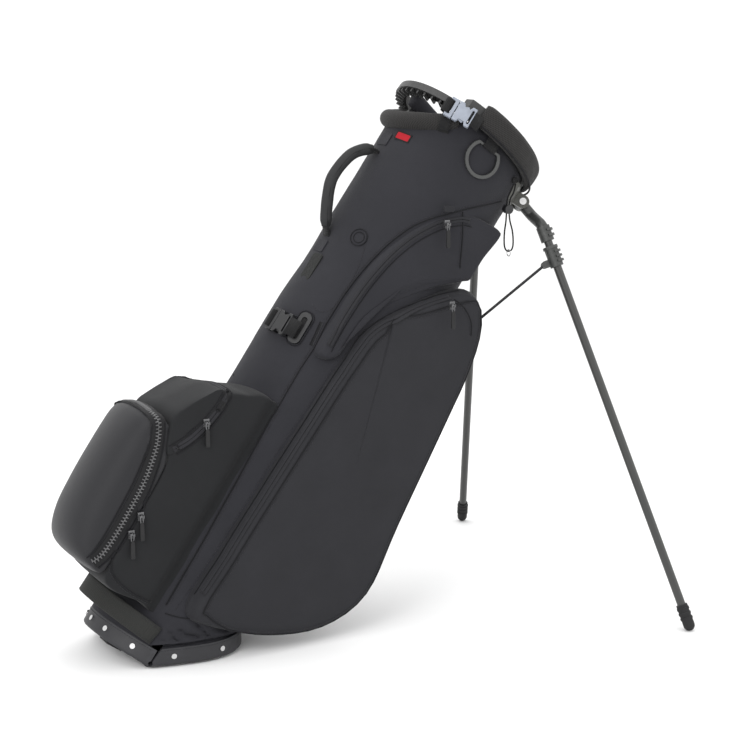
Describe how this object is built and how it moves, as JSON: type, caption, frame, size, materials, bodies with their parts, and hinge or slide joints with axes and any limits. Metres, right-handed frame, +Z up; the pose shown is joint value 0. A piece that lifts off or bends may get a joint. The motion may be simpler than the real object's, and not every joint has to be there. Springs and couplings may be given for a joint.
{
  "type": "golf stand bag",
  "caption": "Upright oval club bag on a hinged foot plate and two splayed legs that fold together, with padded collar, four-way mouth, carry handles and zipped pockets.",
  "frame": {"origin": "centre of the foot plate's heel pad, on the floor", "axes": "+Z up, +X from the handle side towards the legs, +Y to the bag's left side"},
  "size_m": [0.8182, 0.6256, 0.7515],
  "materials": {
    "tube_fabric": "matte woven",
    "pocket_fabric": "matte woven",
    "panel_fabric": "matte woven",
    "mesh_padding": "padded mesh",
    "webbing": "ribbed webbing",
    "elastic_cord": "braided",
    "label_cloth": "woven with a red edge",
    "moulded_collar": "satin",
    "moulded_base": "fine grain",
    "moulded_leg": "satin",
    "bracket_plastic": "olive grey, fine grain",
    "buckle_grey": "satin",
    "buckle_black": "semi gloss",
    "ring_plastic": "satin",
    "leg_tube": "satin",
    "rubber": "matte",
    "steel": "satin",
    "black_steel": "satin",
    "zip_metal": "semi gloss"
  },
  "bodies": {
    "bag": {"apparel_pocket": "pocket_fabric", "ball_pocket": "panel_fabric", "ball_pocket_front": "pocket_fabric", "ball_pocket_lid": "pocket_fabric", "base_cup": "moulded_base", "base_gusset": "tube_fabric", "base_pads": "rubber", "base_rivets": "steel", "base_strap": "webbing", "bungee_cord": "elastic_cord", "bungee_tab": "webbing", "collar_buckle_female": "buckle_grey", "collar_pad": "mesh_padding", "collar_roll": "mesh_padding", "cord_lock": "moulded_leg", "cord_ring": "steel", "d_ring_tab": "webbing", "far_pocket": "pocket_fabric", "grab_handle": "webbing", "handle_tabs": "webbing", "hinge_pin": "steel", "leg_bracket": "bracket_plastic", "leg_pins": "steel", "rod_guides": "moulded_leg", "side_buckle_female": "buckle_black", "snap_ring": "rubber", "stays": "black_steel", "top_collar": "moulded_collar", "top_divider": "mesh_padding", "tube_shell": "tube_fabric", "upper_pocket": "pocket_fabric", "velcro_patch": "webbing", "webbing_plate": "webbing", "woven_label": "label_cloth", "zip_sliders": "zip_metal"},
    "foot": {"foot_plate": "moulded_base", "foot_pads": "rubber", "foot_rivets": "steel"},
    "slider": {"push_rod": "black_steel", "rod_yoke": "moulded_leg"},
    "leg_right": {"leg_head_right": "moulded_leg", "leg_tube_right": "leg_tube", "leg_clamp_right": "moulded_leg", "leg_tip_right": "rubber"},
    "leg_left": {"leg_head_left": "moulded_leg", "leg_tube_left": "leg_tube", "leg_clamp_left": "moulded_leg", "leg_tip_left": "rubber"},
    "arm_right": {"spreader_arm_right": "black_steel"},
    "arm_left": {"spreader_arm_left": "black_steel"},
    "carry_ring": {"d_ring": "ring_plastic"},
    "collar_clip": {"collar_buckle_male": "buckle_grey"},
    "side_clip": {"side_buckle_male": "buckle_black"},
    "upper_pull_body": {"upper_pull": "zip_metal"},
    "apparel_pull_body": {"apparel_pull": "zip_metal"},
    "ball_pull_upper_body": {"ball_pull_upper": "zip_metal"},
    "ball_pull_lower_body": {"ball_pull_lower": "zip_metal"},
    "lid_pull_body": {"lid_pull": "zip_metal"}
  },
  "joints": [
    {"name": "leg_right_fold", "type": "hinge", "parent": "bag", "child": "leg_right", "pos_m": [0.57741, -0.045, 0.57787], "axis": [0.3869, 0.8805, -0.274], "range_deg": [0, 50.6]},
    {"name": "arm_right_swing", "type": "hinge", "parent": "leg_right", "child": "arm_right", "pos_m": [0.58383, -0.09849, 0.49535], "axis": [-0.3869, -0.8805, 0.274], "range_deg": [0, 69.64]},
    {"name": "leg_left_fold", "type": "hinge", "parent": "bag", "child": "leg_left", "pos_m": [0.57741, 0.045, 0.57787], "axis": [-0.3869, 0.8805, 0.274], "range_deg": [0, 50.6]},
    {"name": "arm_left_swing", "type": "hinge", "parent": "leg_left", "child": "arm_left", "pos_m": [0.58383, 0.09849, 0.49535], "axis": [0.3869, -0.8805, -0.274], "range_deg": [0, 69.64]},
    {"name": "foot_plate_fold", "type": "hinge", "parent": "bag", "child": "foot", "pos_m": [-0.016, 0, 0.008], "axis": [0, 1, 0], "range_deg": [0, 35.3], "deforming": ["base_gusset"]},
    {"name": "yoke_slide", "type": "slide", "parent": "bag", "child": "slider", "axis": [-0.5779, 0, -0.8161], "range_m": [0, 0.04576]},
    {"name": "carry_ring_swing", "type": "hinge", "parent": "bag", "child": "carry_ring", "pos_m": [0.48945, -0.09736, 0.6622], "axis": [-0.8145, 0.0628, 0.5767], "range_deg": [0, 112]},
    {"name": "collar_clip_slide", "type": "slide", "parent": "bag", "child": "collar_clip", "axis": [-0.6711, 0.5691, 0.4751], "range_m": [0, 0.022]},
    {"name": "side_clip_slide", "type": "slide", "parent": "bag", "child": "side_clip", "axis": [-0.1877, 0.9732, 0.1329], "range_m": [0, 0.022]},
    {"name": "upper_pull_swing", "type": "hinge", "parent": "bag", "child": "upper_pull_body", "pos_m": [0.41856, -0.11, 0.56291], "axis": [-1, 0, 0], "range_deg": [0, 110]},
    {"name": "apparel_pull_swing", "type": "hinge", "parent": "bag", "child": "apparel_pull_body", "pos_m": [0.41552, -0.13, 0.45479], "axis": [-1, 0, 0], "range_deg": [0, 110]},
    {"name": "ball_pull_upper_swing", "type": "hinge", "parent": "bag", "child": "ball_pull_upper_body", "pos_m": [-0.02229, -0.0885, 0.2085], "axis": [-1, 0, 0], "range_deg": [0, 110]},
    {"name": "ball_pull_lower_swing", "type": "hinge", "parent": "bag", "child": "ball_pull_lower_body", "pos_m": [-0.03569, -0.0885, 0.18613], "axis": [-1, 0, 0], "range_deg": [0, 110]},
    {"name": "lid_pull_swing", "type": "hinge", "parent": "bag", "child": "lid_pull_body", "pos_m": [0.07105, -0.0885, 0.3213], "axis": [-1, 0, 0], "range_deg": [0, 110]}
  ],
  "couplings": [
    {"joint": "leg_left_fold", "follows": "leg_right_fold", "ratio": 1},
    {"joint": "foot_plate_fold", "follows": "leg_right_fold", "ratio": 0.69762},
    {"joint": "yoke_slide", "follows": "leg_right_fold", "m_per_rad": 0.0518},
    {"joint": "arm_right_swing", "follows": "leg_right_fold", "ratio": 1.3762},
    {"joint": "arm_left_swing", "follows": "leg_right_fold", "ratio": 1.3762}
  ]
}
